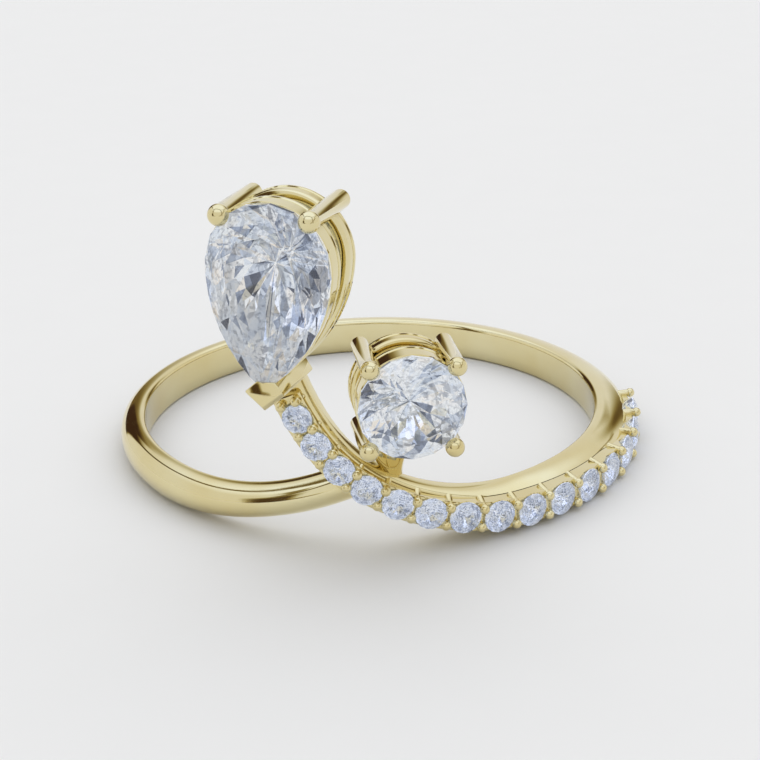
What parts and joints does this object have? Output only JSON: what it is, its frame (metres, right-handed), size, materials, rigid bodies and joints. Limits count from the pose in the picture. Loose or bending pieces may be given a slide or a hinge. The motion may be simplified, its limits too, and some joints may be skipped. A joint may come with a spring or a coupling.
{
  "type": "bypass engagement ring",
  "caption": "Bypass finger ring: two rising arms cross at the front, one set with a row of small stones, under a pear stone head and a round stone head.",
  "frame": {"origin": "middle of the finger hole's wall, on the finger's axis at half the band's width", "axes": "+Z along the finger hole, towards the side the heads rise to; -Y to the front of the ring, where both heads are; +X to the side of the row of small stones"},
  "size_m": [0.0192, 0.0215, 0.0121],
  "materials": {
    "gold": "polished yellow gold",
    "pear_stone": "clear cut stone",
    "round_stone": "clear cut stone",
    "small_stones": "clear cut stones"
  },
  "bodies": {
    "root": {"gold_mount": "gold", "pear_stone": "pear_stone", "round_stone": "round_stone", "pave_stone_01": "small_stones", "pave_stone_02": "small_stones", "pave_stone_03": "small_stones", "pave_stone_04": "small_stones", "pave_stone_05": "small_stones", "pave_stone_06": "small_stones", "pave_stone_07": "small_stones", "pave_stone_08": "small_stones", "pave_stone_09": "small_stones", "pave_stone_10": "small_stones", "pave_stone_11": "small_stones", "pave_stone_12": "small_stones", "pave_stone_13": "small_stones", "pave_stone_14": "small_stones", "pave_stone_15": "small_stones"}
  },
  "joints": []
}
